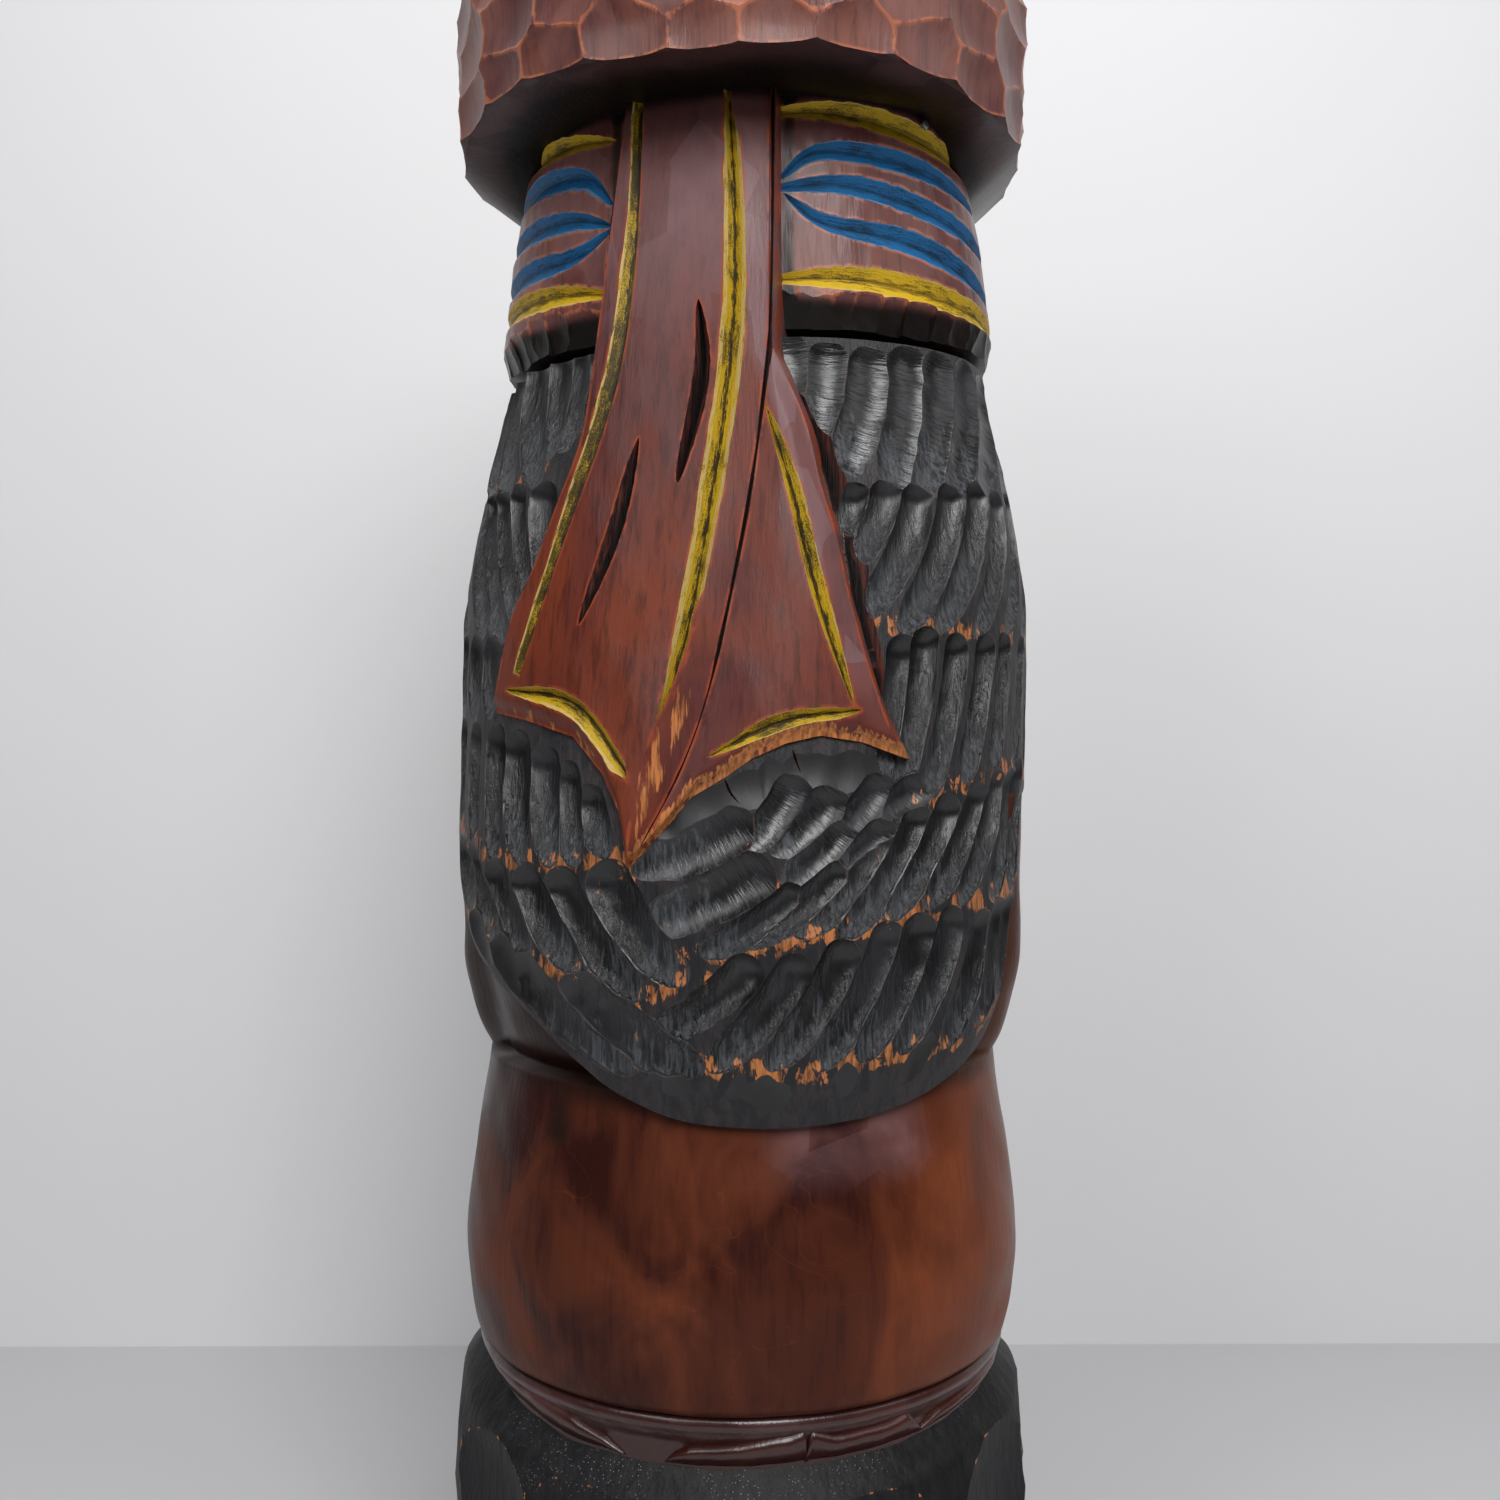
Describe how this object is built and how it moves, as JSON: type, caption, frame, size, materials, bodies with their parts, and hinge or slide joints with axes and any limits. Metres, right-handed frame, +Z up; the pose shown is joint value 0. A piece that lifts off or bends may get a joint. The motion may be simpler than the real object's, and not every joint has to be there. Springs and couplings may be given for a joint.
{
  "type": "totem pole",
  "caption": "Carved log totem pole: capped head with a long flat nose and grooved eye lines, gouged beard, smooth belly with a rope belt, faceted drum and low round base",
  "frame": {"origin": "middle of the flat underside of the base", "axes": "Z is up along the log, the face looks along -Y, +X is to the right of someone facing it"},
  "size_m": [0.312, 0.3166, 0.985],
  "materials": {
    "varnished_wood": "red-brown varnish over adze-cut wood, with black, yellow and blue paint",
    "nail_steel": "dull steel with a worn bright rim"
  },
  "bodies": {
    "root": {"carved_log": "varnished_wood", "nail": "nail_steel"}
  },
  "joints": []
}
